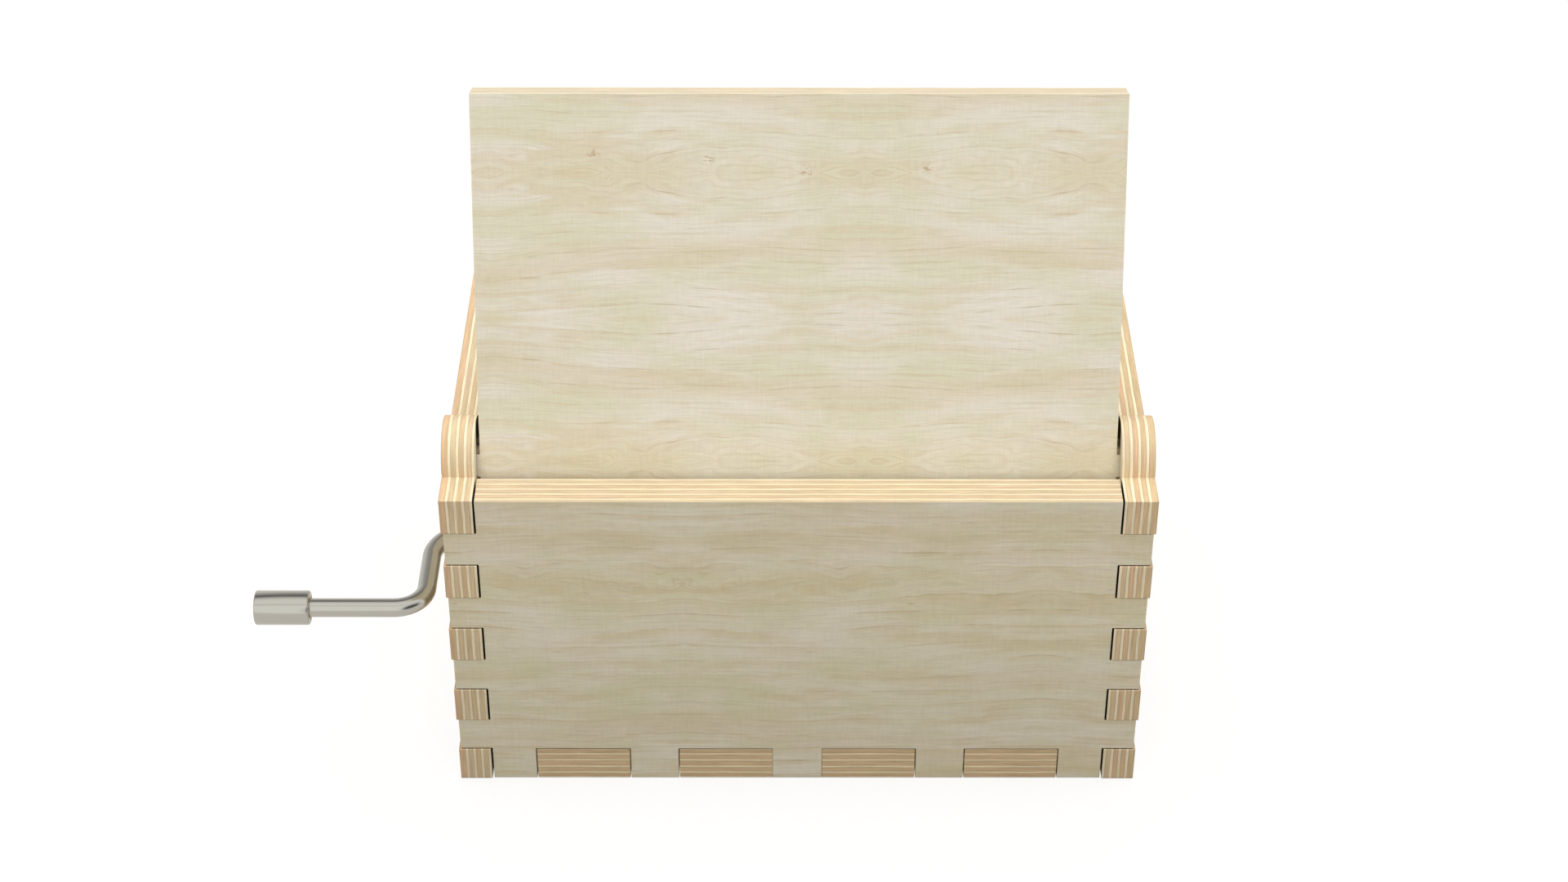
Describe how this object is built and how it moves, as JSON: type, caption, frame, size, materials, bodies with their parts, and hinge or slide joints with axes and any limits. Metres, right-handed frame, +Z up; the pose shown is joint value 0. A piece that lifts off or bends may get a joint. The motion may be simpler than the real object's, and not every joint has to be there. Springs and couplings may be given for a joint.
{
  "type": "hand cranked music box",
  "caption": "Finger jointed plywood music box with a tab hinged lid and a bent wire crank that drives a worm, a pinned cylinder and a tuned comb.",
  "frame": {"origin": "centre of the case's underside", "axes": "+X across the case away from the crank, +Y from the hinge side to the front, +Z up"},
  "size_m": [0.0814, 0.0428, 0.0649],
  "materials": {
    "plywood": "bare, fine sanded",
    "nickel": "satin",
    "brass": "satin",
    "comb_steel": "ground",
    "cast_zinc": "as cast"
  },
  "bodies": {
    "case": {"left_side_panel": "plywood", "right_side_panel": "plywood", "rear_panel": "plywood", "front_panel": "plywood", "bottom_panel": "plywood", "bedplate": "cast_zinc", "comb_base": "brass", "comb": "comb_steel", "comb_screw_1": "nickel", "comb_screw_2": "nickel", "drive_bracket": "nickel", "drive_bracket_screw_1": "nickel", "drive_bracket_screw_2": "nickel", "arbor_bearing": "nickel", "arbor_bearing_screw_1": "nickel", "arbor_bearing_screw_2": "nickel", "movement_screw_1": "nickel", "movement_screw_2": "nickel", "movement_screw_3": "nickel"},
    "lid": {"lid": "plywood"},
    "crank": {"worm_shaft": "nickel", "worm": "brass", "crank": "nickel"},
    "cylinder": {"pin_cylinder": "brass", "cylinder_arbor": "comb_steel", "worm_wheel": "brass"},
    "knob": {"crank_knob": "nickel"}
  },
  "joints": [
    {"name": "lid_hinge", "type": "hinge", "parent": "case", "child": "lid", "pos_m": [0, -0.0136, 0.0325], "axis": [1, 0, 0], "range_deg": [-70.6, 73.4]},
    {"name": "crank_turn", "type": "hinge", "parent": "case", "child": "crank", "pos_m": [-0.014, -0.0095, 0.0211], "axis": [1, 0, 0], "continuous": true},
    {"name": "cylinder_turn", "type": "hinge", "parent": "case", "child": "cylinder", "pos_m": [-0.014, -0.0095, 0.01332], "axis": [0, 1, 0], "continuous": true},
    {"name": "knob_spin", "type": "hinge", "parent": "crank", "child": "knob", "pos_m": [-0.047, -0.0207, 0.0211], "axis": [1, 0, 0], "continuous": true}
  ],
  "couplings": [
    {"joint": "cylinder_turn", "follows": "crank_turn", "ratio": -0.045455}
  ]
}
